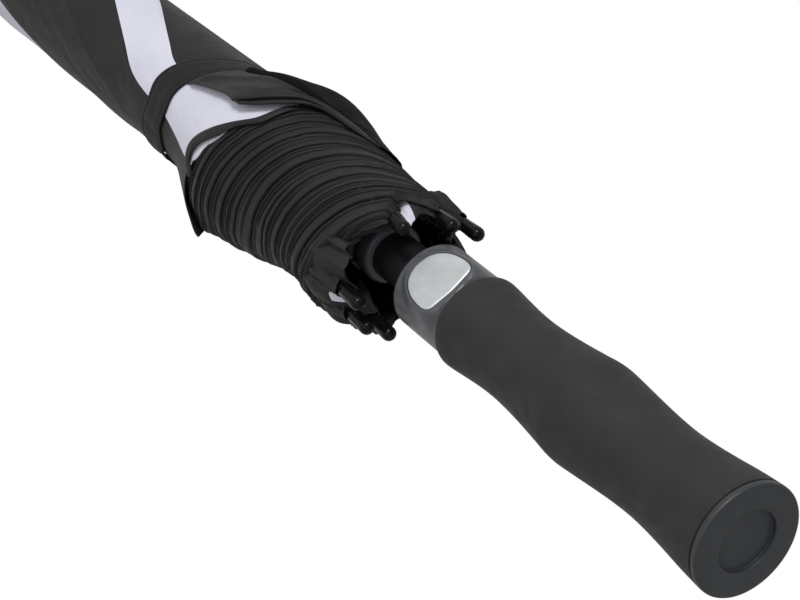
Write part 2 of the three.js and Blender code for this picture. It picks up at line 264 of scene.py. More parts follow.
def cloth(name, color, other, roughness=0.62, **settings):
    """Pongee: a fine plain weave with a dull sheen, and soft creases a few millimetres long."""
    made = Shader(name, color, roughness, **settings)
    made.vary_color(made.noise(70, 5, 0.6, (1, 1, 0.5)), other)
    made.vary_roughness(made.noise(160, 4), roughness * 0.88, roughness * 1.12)
    made.bump(made.noise(150, 4, 0.55, (1, 1, 0.6)), 0.0007, 0.55)
    for stretch in ((1, 1, 9), (6, 6, 0.7)):
        made.bump(made.noise(1500, 2, 0.5, stretch), 0.00006, 0.35)
    return made.material


FOAM = foam()
CAP = plastic("cap_plastic", (0.024, 0.027, 0.031), 0.46)
CAP_FLOOR = plastic("cap_recess", (0.030, 0.033, 0.038), 0.52)
SEAM = plastic("seam", (0.006, 0.006, 0.007), 0.6)
COLLAR = plastic("collar_plastic", (0.070, 0.072, 0.080), 0.36)
SATIN = plastic("satin_metal", (0.66, 0.68, 0.69), 0.46, 0.000008, Metallic=0.85)
STEEL = brushed_steel()
SLEEVE = plastic("black_sleeve", (0.008, 0.009, 0.010), 0.42)
FLANGE = plastic("runner_flange", (0.085, 0.095, 0.110), 0.45)
SHAFT_PAINT = plastic("shaft_paint", (0.010, 0.010, 0.011), 0.30)
GLOSS = plastic("gloss_plastic", (0.0045, 0.0045, 0.005), 0.22, 0.00001, Specular_IOR_Level=0.16)
ROD = plastic("fibreglass", (0.012, 0.012, 0.013), 0.40)
BLACK_CLOTH = cloth(
    "black_pongee", (0.0150, 0.0147, 0.0146), (0.0205, 0.0200, 0.0197),
    Sheen_Weight=0.05, Sheen_Roughness=0.4, Specular_IOR_Level=0.22,
)
STRAP_CLOTH = cloth(
    "strap_pongee", (0.0135, 0.0132, 0.0130), (0.018, 0.0177, 0.0174), 0.66,
    Sheen_Weight=0.04, Sheen_Roughness=0.4, Specular_IOR_Level=0.18,
)
# Painted shade: a darker copy of the black pongee, laid where the fold lies in its own shadow.
PAINTED_SHADE_CLOTH = cloth(
    "painted_shade_pongee", (0.0045, 0.0044, 0.0043), (0.0065, 0.0063, 0.0062), 0.7, Specular_IOR_Level=0.06,
)
WHITE_CLOTH = cloth(
    "white_pongee", (0.66, 0.66, 0.77), (0.71, 0.71, 0.80), 0.7, Specular_IOR_Level=0.3,
)

# ---------------- Mesh helpers


def polar(radius, bearing, height):
    """Points in metres from radius and height in millimetres and a bearing in degrees."""
    angle = np.radians(np.asarray(bearing, float) + FACING)
    radius, angle, height = np.broadcast_arrays(radius, angle, height)
    return np.stack([radius * np.cos(angle), radius * np.sin(angle), height], -1) * MM


def mesh_object(name, points, faces, materials, material_of=None):
    mesh = bpy.data.meshes.new(name)
    points = np.reshape(points, (-1, 3))
    mesh.from_pydata([tuple(map(float, p)) for p in points], [], [tuple(map(int, f)) for f in faces])
    for material in materials:
        mesh.materials.append(material)
    if material_of is not None:
        mesh.polygons.foreach_set("material_index", np.asarray(material_of, np.int32))
    mesh.shade_smooth()
    mesh.update()
    return into_scene(bpy.data.objects.new(name, mesh))


def sharpen(obj, degrees=35):
    obj.data.set_sharp_from_angle(angle=math.radians(degrees))
    return obj


def grid_faces(rows, columns, closed=False):
    """Quads of a rows by columns grid, row-major. closed joins the last column to the first."""
    across = columns if closed else columns - 1
    r, c = np.meshgrid(np.arange(rows - 1), np.arange(across), indexing="ij")
    n = (c + 1) % columns
    low, high = r * columns, (r + 1) * columns
    return np.stack([low + c, low + n, high + n, high + c], -1).reshape(-1, 4)


def thicken(obj, thickness):
    """Gives a sheet its thickness inwards, with its rim closed."""
    solid = obj.modifiers.new("thickness", "SOLIDIFY")
    solid.thickness = thickness * MM
    solid.offset = -1.0
    apply_modifiers(obj)


def thick_grid(name, points, thickness, materials, material_of=None, closed=False):
    """A sheet through a grid of points, in metres."""
    obj = mesh_object(name, points, grid_faces(*points.shape[:2], closed), materials, material_of)
    thicken(obj, thickness)
    return obj


def apply_modifiers(obj):
    bpy.context.view_layer.update()
    evaluated = obj.evaluated_get(bpy.context.evaluated_depsgraph_get())
    mesh = bpy.data.meshes.new_from_object(evaluated)
    obj.modifiers.clear()
    obj.data = mesh


def cut_away(obj, cutter):
    """Cuts the cutter's shape out of obj, and deletes the cutter."""
    cut = obj.modifiers.new("cut", "BOOLEAN")
    cut.operation = "DIFFERENCE"
    cut.object = cutter
    cut.solver = "EXACT"
    apply_modifiers(obj)
    bpy.data.objects.remove(cutter)
    sharpen(obj, 30)


def rounded(corners, steps=5):
    """A profile from (radius, height, fillet) corners, with each fillet drawn as an arc-like curve."""
    made = []
    for i, (r, z, *fillet) in enumerate(corners):
        here = np.array([r, z], float)
        if not fillet or fillet[0] == 0:
            made.append(here)
            continue
        before = np.array(corners[i - 1][:2], float) - here
        after = np.array(corners[(i + 1) % len(corners)][:2], float) - here
        start = here + before / np.linalg.norm(before) * fillet[0]
        end = here + after / np.linalg.norm(after) * fillet[0]
        for t in np.linspace(0, 1, steps):
            made.append(start * (1 - t) ** 2 + here * 2 * t * (1 - t) + end * t**2)
    return np.array(made)


def turned(name, profile, material, sides=128, closed=False, smooth_angle=30):
    """A profile of (radius, height) millimetres turned round the axis. Radius 0 becomes a pole."""
    profile = np.asarray(profile, float)
    bearings = np.arange(sides) * 360.0 / sides
    points, rings = [], []
    for radius, height in profile:
        if radius < 1e-6:
            rings.append([len(points)] * sides)
            points.append(polar(0.0, 0.0, height))
        else:
            first = len(points)
            rings.append(list(range(first, first + sides)))
            points.extend(polar(radius, bearings, height))
    faces = []
    pairs = list(zip(rings[:-1], rings[1:]))
    if closed:
        pairs.append((rings[-1], rings[0]))
    for low, high in pairs:
        for i in range(sides):
            j = (i + 1) % sides
            face = [low[i], low[j], high[j], high[i]]
            faces.append([v for k, v in enumerate(face) if v not in face[:k]])
    made = mesh_object(name, points, [f for f in faces if len(f) > 2], [material])
    outward(made)
    return sharpen(made, smooth_angle)


def outward(obj):
    """Turns every face of a closed mesh outwards."""
    work = bmesh.new()
    work.from_mesh(obj.data)
    bmesh.ops.recalc_face_normals(work, faces=work.faces)
    work.to_mesh(obj.data)
    work.free()
    return obj


def place(obj, body, slot, *replaced):
    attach(obj, body)
    if replaced:
        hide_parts(*replaced)


def lattice(points, seed):
    """Smooth value noise between -1 and 1 at points given in noise cells."""
    cell = np.floor(points).astype(np.int64)
    part = points - cell
    part = part * part * (3 - 2 * part)

    def value(i, j, k):
        h = (i * 73856093) ^ (j * 19349663) ^ (k * 83492791) ^ (seed * 2654435761)
        h = (h ^ (h >> 13)) * 1274126177 & 0xFFFFFFFF
        return ((h ^ (h >> 16)) & 0xFFFF) / 32767.5 - 1

    total = 0.0
    for di in (0, 1):
        for dj in (0, 1):
            for dk in (0, 1):
                weight = (
                    (part[..., 0] if di else 1 - part[..., 0])
                    * (part[..., 1] if dj else 1 - part[..., 1])
                    * (part[..., 2] if dk else 1 - part[..., 2])
                )
                total = total + weight * value(cell[..., 0] + di, cell[..., 1] + dj, cell[..., 2] + dk)
    return total


def waves(bearing, height, cells_round, cell_height, seed):
    """Noise on the bundle's skin that closes on itself round the bundle."""
    bearing, height = np.broadcast_arrays(bearing, height)
    angle, radius = np.radians(bearing), cells_round / (2 * math.pi)
    where = np.stack([radius * np.cos(angle), radius * np.sin(angle), height / cell_height], -1)
    return lattice(where + 40.0, seed)


def smoothstep(value, start=0.0, end=1.0):
    t = np.clip((value - start) / (end - start), 0, 1)
    return t * t * (3 - 2 * t)


def bell(value, middle, width, power=2):
    """1 at the middle, falling to nothing about two widths away."""
    return np.exp(-(((value - middle) / width) ** power))


def curve(pairs, period=None):
    """A smooth function through (input, output) pairs."""
    xs, ys = np.array(pairs, float).T
    if period:
        xs = np.concatenate([xs - period, xs, xs + period])
        ys = np.tile(ys, 3)
    slopes = np.gradient(ys, xs)

    def at(x):
        x = np.asarray(x, float)
        i = np.clip(np.searchsorted(xs, x) - 1, 0, len(xs) - 2)
        width = xs[i + 1] - xs[i]
        t = np.clip((x - xs[i]) / width, 0, 1)
        a, b = ys[i], ys[i + 1]
        return (
            a * (1 + 2 * t) * (1 - t) ** 2 + b * t * t * (3 - 2 * t)
            + slopes[i] * width * t * (1 - t) ** 2 - slopes[i + 1] * width * t * t * (1 - t)
        )

    return at


# ---------------- Handle

GRIP_TOP = 164.0
COLLAR_RADIUS, COLLAR_TOP = 18.4, 196.6
BUTTON_BOTTOM, BUTTON_TOP, BUTTON_HALF = 166.9, 191.0, 12.6


def grip():
    swells = curve([
        (3.3, 22.0), (12, 21.3), (24, 20.0), (34, 19.1), (45, 18.62), (56, 18.95), (68, 19.85),
        (80, 20.9), (87.5, 21.42), (91, 21.3), (98, 20.5), (110, 19.2), (121, 18.3), (131, 17.9),
        (141, 18.2), (150, 18.95), (158, 19.75),
    ])
    heights = np.linspace(3.3, 158, 110)
    outside = [(9.8, 3.3), *zip(swells(heights), heights)]
    shoulder = [
        (19.98 - 2.0 * (1 - math.cos(math.radians(a))), 161.4 + 2.6 * math.sin(math.radians(a)))
        for a in range(0, 91, 9)
    ]
    profile = [*outside, *shoulder, (9.8, GRIP_TOP)]
    place(turned("foam_grip", profile, FOAM, 160, True, 50), "handle", "foam", "grip")


def end_cap():
    profile = rounded([
        (0, 2.0), (12.2, 2.0, 0.35), (12.2, 0.0, 0.45), (22.1, 0.0, 0.9), (22.1, 2.35, 0.25),
        (21.6, 2.45), (21.6, 2.9), (7.0, 3.0), (7.0, 16.0), (0, 16.0),
    ])
    cap = turned("butt_cap", profile, CAP, 160)
    cap.data.materials.append(CAP_FLOOR)
    for face in cap.data.polygons:
        x, y, z = face.center
        if math.hypot(x, y) < 12.0 * MM and z < 2.3 * MM:
            face.material_index = 1
    place(cap, "handle", "cap_plastic", "end_cap")
    lip = rounded([(9.9, 2.95), (21.85, 2.95, 0.15), (21.85, 3.25, 0.1), (9.9, 3.25)], 4)
    place(turned("cap_seam", lip, SEAM, 128, True), "handle", "cap_plastic")


def button_outline(growth):
    """The D-shaped outline: corners near the grip, a round arch towards the canopy."""
    half, low, high = BUTTON_HALF + growth, BUTTON_BOTTOM - growth, BUTTON_TOP + growth
    base = ((-half + 3.4, low + 0.9), (0, low - 0.75), (0, low - 0.75), (half - 3.4, low + 0.9))
    right = [
        ((half - 3.4, low + 0.9), (half - 0.9, low + 1.5), (half + 0.15, low + 3.6), (half, low + 7.2)),
        ((half, low + 7.2), (half - 0.3, high - 5.4), (half - 5.6, high), (0, high)),
    ]
    left = [[(-x, z) for x, z in reversed(side)] for side in reversed(right)]
    made = []
    for a, b, c, d in [base, *right, *left]:
        for t in np.linspace(0, 1, 32, endpoint=False):
            point = (
                np.array(a) * (1 - t) ** 3 + 3 * np.array(b) * t * (1 - t) ** 2
                + 3 * np.array(c) * t * t * (1 - t) + np.array(d) * t**3
            )
            made.append(point)
    return np.array(made)


def button_layers(name, layers, material, dome=0.0):
    """Stacks outlines of (growth, distance in front of the axis), domed sideways, and closes both ends."""
    points = []
    middle = np.array([0.0, (BUTTON_BOTTOM + BUTTON_TOP) / 2])
    front = [(layers[-1], share) for share in np.linspace(1, 0.04, 10)[1:]]
    for (growth, distance), share in [(layer, 1.0) for layer in layers] + front:
        outline = middle + (button_outline(growth) - middle) * share
        ahead = distance - dome * (outline[:, 0] / BUTTON_HALF) ** 2
        points.extend(np.column_stack([outline[:, 0], -ahead, outline[:, 1]]) * MM)
    count = len(button_outline(0))
    turns = len(points) // count
    faces = [list(f) for f in grid_faces(turns, count, True)]
    faces += [list(range(count)), list(range((turns - 1) * count, turns * count))]
    return outward(mesh_object(name, points, faces, [material]))


def near_button(x, z):
    """How far (x, z) lies outside the button's outline, in mm, and 0 inside it."""
    outline = button_outline(0)
    gap = np.hypot(x[:, None] - outline[None, :, 0], z[:, None] - outline[None, :, 1]).min(1)
    after = np.roll(outline, -1, 0)
    across = (after - outline)[None]
    ahead = np.stack([x, z], -1)[:, None] - outline[None]
    outside = (across[..., 0] * ahead[..., 1] - across[..., 1] * ahead[..., 0]).min(1) < 0
    return np.where(outside, gap, 0.0)


BUTTON_DOME = 0.8


def push_button():
    layers = [(0, 13.6), (0, 18.25), (-0.10, 18.55), (-0.40, 18.74), (-0.85, 18.8)]
    button = sharpen(button_layers("button_face", layers, SATIN, BUTTON_DOME), 50)
    place(button, "button", "satin_metal", "push_button")


def collar():
    """A turned shell that swells round the button so that the button's face lies flush with it."""
    wall = [(COLLAR_RADIUS, z) for z in np.arange(165.2, 194.6, 0.7)]
    rim = [
        (COLLAR_RADIUS - 1.7 * (1 - math.cos(t)), COLLAR_TOP - 1.7 + 1.7 * math.sin(t))
        for t in np.radians(np.arange(0, 91, 10))
    ]
    inside = rounded([(10.9, COLLAR_TOP, 0.3), (10.9, 194.4), (15.2, 194.4), (15.2, 166.0), (7.4, 166.0)], 4)
    profile = [(7.4, 164.3), (18.15, 164.3), (COLLAR_RADIUS, 164.6), *wall, *rim, *inside.tolist()]
    body = turned("handle_collar", profile, COLLAR, 256, True)
    at = np.array([v.co for v in body.data.vertices]) / MM
    radius = np.hypot(at[:, 0], at[:, 1])
    swell = 1 - smoothstep(near_button(at[:, 0], at[:, 2]), 0.5, 5.0)
    swell *= (radius > 16) & (at[:, 1] < 0) & (at[:, 2] > 165) & (at[:, 2] < 195.5)
    flush = -(18.5 - BUTTON_DOME * (at[:, 0] / BUTTON_HALF) ** 2)
    at[:, 1] += np.minimum(flush - at[:, 1], 0) * swell
    body.data.vertices.foreach_set("co", (at * MM).ravel())
    cut_away(body, button_layers("cutter", [(0.28, 8.0), (0.28, 24.0)], SEAM))
    place(body, "handle", "collar_plastic", "collar")


def inner_parts():
    """The pieces that keep the CAD's shape."""
    for node, material in (
        ("handle_core", SLEEVE), ("latch_plate", SLEEVE), ("button_spring", STEEL),
        ("opening_spring", STEEL), ("notch", SLEEVE),
    ):
        dress(node, material)


def dress(node, material):
    """Gives a CAD node its material."""
    obj = next(o for o in bpy.data.objects if o.get("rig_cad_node") == node)
    obj.data.materials.clear()
    obj.data.materials.append(material)


def shaft_and_runner():
    tube = rounded([(6.0, 17.0), (7.0, 17.0, 0.2), (7.0, 990.0, 0.2), (6.0, 990.0)], 3)
    place(turned("shaft_tube", tube, SHAFT_PAINT, 64, True), "handle", "shaft_finish", "shaft")
    sleeve = rounded([
        (7.3, 172.0), (10.3, 172.0, 0.7), (10.3, 175.5), (9.0, 175.5), (9.0, 179.0), (10.3, 179.0),
        (10.3, 227.0), (7.3, 227.0),
    ], 4)
    runner = turned("runner_sleeve", sleeve, SLEEVE, 96, True)
    place(runner, "runner", "black_plastic", "runner")
    flange = rounded([
        (7.3, 227.1), (10.3, 227.1), (10.3, 225.2), (12.5, 225.2, 0.9), (13.4, 226.8, 0.5),
        (13.4, 234.0, 0.6), (11.2, 234.9, 0.3), (11.2, 238.0, 0.3), (13.8, 238.6, 0.4), (13.8, 248.2, 0.8),
        (7.3, 248.2),
    ], 4)
    ring = turned("runner_crown", flange, FLANGE, 96, True)
    slots(ring)
    place(ring, "runner", "black_plastic")


def slots(obj):
    """Cuts the stretcher slots into the runner's crown."""
    cutter = bpy.data.meshes.new("slots")
    work = bmesh.new()
    for i in range(RIBS):
        angle = math.radians(FIRST_RIB + FACING + i * RIB_STEP)
        move = Matrix.Rotation(angle, 4, "Z") @ Matrix.Translation((0.0204, 0, 0.2435))
        bmesh.ops.create_cube(work, size=1, matrix=move @ Matrix.Diagonal((0.02, 0.0034, 0.0125, 1)))
    work.to_mesh(cutter)
    work.free()
    cut_away(obj, into_scene(bpy.data.objects.new("slots", cutter)))


def top_pieces():
    cap = rounded([
        (7.3, 968.5), (18.6, 968.5, 0.4), (19.4, 969.3, 0.3), (19.0, 970.6, 0.4), (15.5, 972.9, 1.5),
        (11.0, 974.5, 1.2), (7.3, 974.9),
    ], 5)
    place(turned("crown_cap", cap, SLEEVE, 96, True), "handle", "black_plastic", "top_cap")
    spike = rounded([
        (7.3, 975.2), (10.0, 975.2, 0.5), (9.6, 984.2, 0.8), (8.6, 988.2, 1.0), (6.0, 1009.2, 2.0),
        (4.6, 1014.2, 1.6), (0, 1016.2), (0, 990.3), (7.3, 990.3),
    ], 6)
    place(turned("ferrule_tip", spike, GLOSS, 96, True), "handle", "gloss_plastic", "ferrule")


# ---------------- Ribs

def rib_axes(i):
    """Pivot, direction to the tip, outward and sideways directions of closed rib i, in mm."""
    bearing = FIRST_RIB + (i - 1) * RIB_STEP
    radial = polar(1000.0, bearing, 0.0)
    side = polar(1000.0, bearing + 90, 0.0)
    out, aside = TIP_PLACES[i - 1]
    side_lean = math.asin(aside / RIB_LENGTH)
    lean = math.asin((out - PIVOT_RADIUS - RIB_OFFSET) / (RIB_LENGTH * math.cos(side_lean)))
    up = np.array([0, 0, 1.0])
    down = radial * math.sin(lean) - up * math.cos(lean)
    outwards = radial * math.cos(lean) + up * math.sin(lean)
    along = down * math.cos(side_lean) + side * math.sin(side_lean)
    pivot = radial * PIVOT_RADIUS + up * PIVOT_HEIGHT
    return pivot, along, outwards, side, lean


def turned_along(name, start, along, profile, material, sides=32, ridges=0.0, ridged_to=0.0):
    """A profile of (radius, distance) in mm turned round a line through start, ridged up to ridged_to."""
    obj = turned(name, profile, material, sides)
    for vertex in obj.data.vertices:
        x, y, z = vertex.co / MM
        swell = 1 + ridges * math.cos(8 * math.atan2(y, x)) * (1 - smoothstep(z, ridged_to - 2, ridged_to))
        vertex.co = (x * swell * MM, y * swell * MM, z * MM)
    turn = Vector((0, 0, 1)).rotation_difference(Vector(along)).to_matrix().to_4x4()
    obj.data.transform(Matrix.Translation(Vector(start) * MM) @ turn)
    return obj


TIP_SLEEVE = 3.0  # of each tip, pushed up over the rod's end
TIP_RADIUS, TIP_REACH = 3.1, 12.0  # of its ball, and from the rod's end to the ball's end


def rib_ends():
    for i in range(1, RIBS + 1):
        pivot, along, out, _, _ = rib_axes(i)
        start = pivot + out * RIB_OFFSET + along * (RIB_LENGTH + 0.3 - TIP_SLEEVE)
        turns = [math.radians(a) for a in range(0, 90, 9)]
        ball = [(TIP_RADIUS * math.cos(a), TIP_REACH + TIP_RADIUS * (math.sin(a) - 1)) for a in turns]
        wall = [(2.75, -TIP_SLEEVE + 0.5), (2.8, 2.0), (2.95, 5.5), (3.08, 7.5), *ball, (0, TIP_REACH)]
        profile = [(0, 0), (2.5, 0)] + [(radius, reach + TIP_SLEEVE) for radius, reach in wall]
        tip = turned_along(f"tip_{i}", start, along, profile, GLOSS, 64, 0.035, 7.5 + TIP_SLEEVE)
        place(tip, f"rib_{i}", "gloss_plastic", f"rib_tip_{i}")
        dress(f"rib_{i}", ROD)
        dress(f"rib_clip_{i}", SLEEVE)
        dress(f"stretcher_{i}", STEEL)


# ---------------- Wrapped canopy
# The furled cloth is a pack of helical hems below and a smooth twisted skin above.

BUNDLE_TOP = 957.0
LEVEL_FROM = 380.0  # the skin's rows run level above this height
HEMS_UP_TO = 350  # where the hems end, behind the skin


def crumples(obj):
    """Furled cloth, carried by the handle's body with a mesh of its own."""
    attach(obj, "handle")
    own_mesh(obj)


def wound(name, radius, bearing, height, thickness, materials, material_of=None, closed=False):
    """Cloth round the bundle, as a grid of radius and height in millimetres and bearing in degrees."""
    obj = thick_grid(name, polar(radius, bearing, height), thickness, materials, material_of, closed)
    crumples(obj)
    return obj


# The same distance on each side: FRONT is at bearing 0, RIGHT a quarter turn on.
FRONT = curve([
    (203, 31.5), (234, 33.6), (275, 35.3), (295, 37.8), (315, 39.6), (330, 37.4), (345, 33.6), (358, 31.2),
    (370, 30.2), (380, 30), (450, 29.8), (620, 29.5), (800, 26.3), (930, 21.6), (957, 17.5),
])
RIGHT = curve([
    (203, 29.5), (240, 28.8), (265, 30.2), (285, 33.0), (300, 36.4), (310, 37.6), (320, 35.8), (332, 31.6),
    (345, 28.2), (358, 26.8), (380, 26.6), (400, 26.8), (450, 26.6), (620, 25.4), (800, 22.5), (930, 19.6),
    (957, 17.5),
])
BACK = curve([
    (203, 31), (234, 33.4), (275, 35), (300, 38.3), (315, 39.8), (335, 38.2), (355, 33.4), (368, 31),
    (380, 30), (450, 28), (620, 28), (800, 25), (930, 20.5), (957, 17.5),
])
LEFT = curve([
    (203, 31), (214, 33), (226, 35), (243, 35.2), (255, 33), (285, 34.6), (305, 39.8), (318, 41.6),
    (328, 41), (345, 36.4), (365, 31), (380, 29.4), (400, 29.9), (500, 31.6), (620, 32), (800, 28.5),
    (930, 22), (957, 17.5),
])


def girth(bearing, height):
    """The furled cloth's distance from the shaft's axis, blended from the four sides."""
    turn = np.radians(bearing)
    ahead, aside = np.cos(turn), np.sin(turn)
    return (
        FRONT(height) * np.maximum(ahead, 0) ** 2 + BACK(height) * np.maximum(-ahead, 0) ** 2
        + RIGHT(height) * np.maximum(aside, 0) ** 2 + LEFT(height) * np.maximum(-aside, 0) ** 2
    )


def hem_phase(k):
    """Uneven spacing of the hems, repeating every full turn."""
    turn = 2 * math.pi / 16
    return k + 0.30 * np.sin(5 * turn * k + 0.6) + 0.16 * np.sin(3 * turn * k + 2.0)


# Lowest edge of the wound hems: each leaves a rib tip and climbs round the bundle.
lowest_hem = curve([
    (-180, 215), (-166, 209), (-157, 217), (-148, 224), (-126, 218), (-117, 216), (-108, 228), (-96, 237),
    (-80, 240), (-63, 238), (-42, 232), (-23, 225), (-7, 218), (8, 212), (19, 210), (28, 214), (38, 218.5),
    (54, 215), (68, 211), (78, 217), (88, 214), (100, 210), (110, 219), (122, 225), (140, 216), (152, 210),
    (163, 218), (180, 215),
])


def spike(turned_by):
    """How much the cloth stands off at a number of degrees from its narrow corner."""
    return np.exp(-np.sqrt(turned_by**2 + 4) / 11.0)


def wrapped_hems():
    """Hems wound round the bundle, each one lying over the one below it, with creases along them."""
    columns = 460
    bearings = np.linspace(-180, 180, columns)[None, :]
    along = np.array([
        0.0, 0.012, 0.03, 0.06, 0.11, 0.18, 0.26, 0.33, 0.38, 0.42, 0.46, 0.50, 0.55, 0.61, 0.67, 0.71,
        0.75, 0.79, 0.85, 0.91, 0.95, 0.98,
    ])
    hems = np.arange(-14, 28)
    share = np.tile(along, len(hems))[:, None]
    hem = np.repeat(hems, len(along))[:, None]
    lap = np.interp(
        share, [0, 0.012, 0.03, 0.06, 0.5, 0.91, 0.95, 0.98], [-3.2, -2.2, 0.6, 0.9, 0.45, -0.25, -0.7, -2.0],
    )
    droop = np.interp(share, [0, 0.012, 0.03, 0.06, 0.11, 0.2], [0.5, 0.0, -0.75, -0.7, -0.2, 0.0])
    straight = LOWEST_HEM + HEM_PITCH * hem_phase(hem + share) - (bearings - FIRST_RIB) * HEM_SLOPE
    meander = 1.5 * waves(bearings, straight, 7, 40, 5) + 0.4 * waves(bearings, straight, 12, 14, 6)
    heights = straight + meander
    depth = 1.0 + 0.6 * waves(bearings + 5 * hem, 7.0 * hem, 9, 5, 11)
    radius = girth(bearings, heights) - 0.6 + lap * depth * 1.05
    for place_at, seed, deep, width in ((0.42, 12, 2.0, 0.04), (0.71, 13, 1.7, 0.035)):
        fade = smoothstep(waves(bearings + 9 * hem, 5.0 * hem, 7, 4, seed), -0.6, 0.3)
        radius -= deep * fade * (bell(share, place_at, width) - 0.45 * bell(share - place_at, 0.09, 0.06))
    radius += 0.75 * waves(bearings, heights, 11, 26, 7) + 0.22 * waves(bearings, heights, 60, 9, 8)
    z = heights + droop
    under = smoothstep(z - outer_hem(bearings), -4, 3)
    radius += 5.0 * spike(bearings - CORNER) * smoothstep(z, 316, 332)
    radius = radius * (1 - under) + np.minimum(radius, skin_radius(bearings, z) - 1.7) * under
    edge = lowest_hem(bearings) + 0 * z
    radius -= 3.4 * smoothstep(edge + 4.5 - z, 0, 4.5) ** 2
    faces = grid_faces(len(share), columns)
    kept = ((z - edge).ravel()[faces].max(1) > 0) & (z.ravel()[faces].mean(1) < HEMS_UP_TO)
    used, corners = np.unique(faces[kept], return_inverse=True)
    points = polar(radius, bearings, np.maximum(z, edge)).reshape(-1, 3)[used]
    obj = mesh_object("canopy_hems", points, corners.reshape(-1, 4), [BLACK_CLOTH])
    thicken(obj, 0.5)
    crumples(obj)


# The outer cloth's hem, the sides of its white band and the middle of the strap, round the bundle.
outer_hem = curve([
    (-114, 336), (-98, 337.5), (-91, 333), (-86, 328.5), (-81, 332), (-70, 335.5), (-58, 336.5), (-43, 334),
    (-38, 335), (-31, 334.6), (-23, 331.2), (-11, 321.8), (-1, 312), (10, 303), (21, 299.8), (29, 298.6),
    (48, 296), (80, 288), (130, 300), (190, 318), (230, 330),
], 360)
band_left = curve([
    (300, -44), (334, -41.5), (341, -42.4), (360, -40), (375, -34.2), (396, -29.4), (415, -20.9), (431, -6.1),
    (465, 19.7), (570, 90), (700, 172), (957, 290),
])
band_right = curve([
    (300, 37), (315, 31), (330, 23), (350, 15), (370, 10), (388, 8.2), (406, 20), (425, 33.8), (460, 60.9),
    (570, 128), (700, 206), (957, 318),
])
strap_middle = curve([
    (-100, 389), (-60, 388), (-48, 386.5), (-29, 383.5), (-12, 382.3), (3, 378.3), (20, 371.5), (45, 362),
    (80, 356), (130, 360), (190, 371), (230, 383),
], 360)
SECOND_BAND = (178.0, 215.0)  # further round than the first band's left side
CORNER = -86.0  # bearing of the corner that stands off


def over_ribs(bearing, height):
    """The least radius that keeps the skin outside of the ribs and of the cloth folded beside them."""
    least = np.zeros(np.broadcast(bearing, height).shape)
    for i in range(1, RIBS + 1):
        pivot, along, out, _, _ = rib_axes(i)
        start = pivot + out * CLOTH_LIFT
        x, y = (start[k] + along[k] / along[2] * (height - start[2]) for k in (0, 1))
        beside = np.mod(bearing - (np.degrees(np.arctan2(y, x)) - FACING) + 180, 360) - 180
        least = np.maximum(least, np.hypot(x, y) + 2.4 - 4.5 * (1 - bell(beside, 0, 21.0)))
    return least


def skin_radius(bearing, height):
    """Outside of the smooth upper cloth, with the corner that stands off at its hem."""
    turned_by = np.mod(bearing - CORNER + 180, 360) - 180
    corner = 6.0 * spike(turned_by) + 1.6 * bell(turned_by, 16, 14.0)
    flare = corner * smoothstep(385 - height, 0, 56) * 1.25
    press = 0.7 * bell(height, strap_middle(bearing), 8.0)
    folds = smoothstep(height, 398, 430) * (1 - smoothstep(height, 900, 950))
    twisted = bearing - band_left(height)
    pleats = 0.8 * np.abs(np.sin(np.radians(twisted * 4 + 20 * np.sin(height / 60)))) ** 0.7
    creases = 1.3 * waves(twisted, height, 9, 90, 21) + 0.7 * waves(twisted, height, 26, 60, 22)
    near = (1 - smoothstep(height, 396, 420)) * 0.45 * waves(bearing, height, 14, 30, 23)
    free = girth(bearing, height) + 0.5 + flare + folds * np.maximum(creases - pleats * 0.8, -0.9) + near
    return np.maximum(free, over_ribs(bearing, height)) - press


def wrapped_skin():
    """The outer cloth from its hem to the notch, with two white bands that twist round it."""
    columns = (64, 84, 32, 84)  # of the first band, the black beyond it, the second band and the rest
    steps = np.concatenate([np.linspace(0, 1, 84), 1 + np.linspace(0, 1, 260)[1:]])
    shares = np.concatenate([i + np.linspace(0, 1, n, endpoint=False) for i, n in enumerate(columns)])
    which = np.floor(shares).astype(int)
    part = shares - which
    rows, bearing_rows = [], []
    bearing = np.zeros(len(shares))
    for step in steps:
        height = np.full(len(shares), LEVEL_FROM + (BUNDLE_TOP - LEVEL_FROM) * max(0.0, step - 1) ** 1.1)
        for _ in range(1 if step >= 1 else 5):
            if step < 1:
                hem = outer_hem(bearing)
                height = hem + (LEVEL_FROM - hem) * step
            left = band_left(height)
            edge = [left, band_right(height), left + SECOND_BAND[0], left + SECOND_BAND[1], left + 360]
            low, high = np.choose(which, edge[:4]), np.choose(which, edge[1:])
            bearing = low + (high - low) * part
        rows.append(height)
        bearing_rows.append(bearing)
    height, bearing = np.array(rows), np.array(bearing_rows)
    radius = skin_radius(bearing, height)
    faces = grid_faces(len(steps), len(shares), True)
    shown = shares[faces[:, 0] % len(shares)]
    row = faces[:, 0] // len(shares)
    white = (shown < 1) | ((shown >= 2) & (shown < 3) & (steps[row] > 1.0))
    obj = wound("canopy_skin", radius, bearing, height, 0.6, [BLACK_CLOTH, WHITE_CLOTH], white, True)
    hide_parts(*[f"canopy_panel_{i}" for i in range(1, RIBS + 1)])


def wrap_strap():
    """A flat doubled band with a stitched edge on each side, wound tight round the bundle."""
    bearings = np.linspace(-180, 180, 260, endpoint=False)[None, :]
    half_across = [0, 0.4, 0.72, 0.76, 0.8, 0.9, 0.97, 1]
    half_rise = [0.45, 0.42, 0.3, 0.05, 0.3, 0.32, 0.1, -0.6]
    across = np.array([-a for a in half_across[:0:-1]] + half_across)[:, None]
    rise = np.array(half_rise[:0:-1] + half_rise)[:, None]
    half_width = 9.6 + 0.6 * waves(bearings, 0, 6, 10, 31)
    heights = strap_middle(bearings) + across * half_width
    radius = skin_radius(bearings, heights) + 1.2 + rise + 0.3 * waves(bearings, heights, 24, 12, 33)
    wound("wrap_strap", radius, bearings, heights, 0.9, [STRAP_CLOTH], closed=True)


